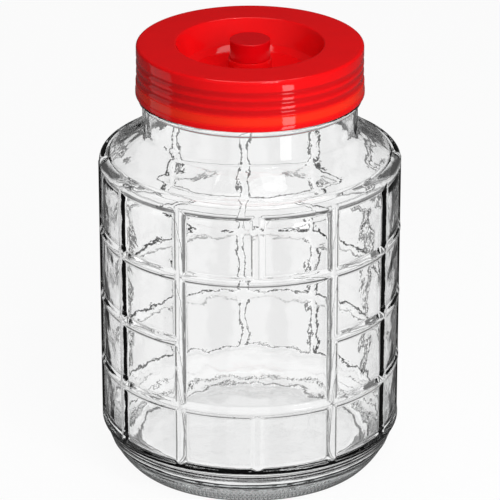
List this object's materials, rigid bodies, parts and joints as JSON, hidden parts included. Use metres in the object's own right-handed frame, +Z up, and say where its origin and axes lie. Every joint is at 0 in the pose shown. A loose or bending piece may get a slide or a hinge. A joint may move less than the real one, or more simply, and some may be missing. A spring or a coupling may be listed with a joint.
{
  "type": "glass pickling jar with screw lid",
  "caption": "Large round glass storage jar with a raised lattice, a plain label panel and a red screw lid with a recessed middle and small vent cap.",
  "frame": {"origin": "centre of the ring the jar stands on, at its lowest level", "axes": "+Z up along the jar's axis to the lid, -Y out through the plain label panel, +X to the right seen from that side"},
  "size_m": [0.205, 0.205, 0.3014],
  "materials": {
    "clear_glass": "clear, pressed, slightly wavy inside",
    "red_plastic": "glossy moulded",
    "red_cap_plastic": "glossy moulded"
  },
  "bodies": {
    "root": {"glass_jar": "clear_glass", "screw_lid": "red_plastic", "vent_cap": "red_cap_plastic"}
  },
  "joints": []
}
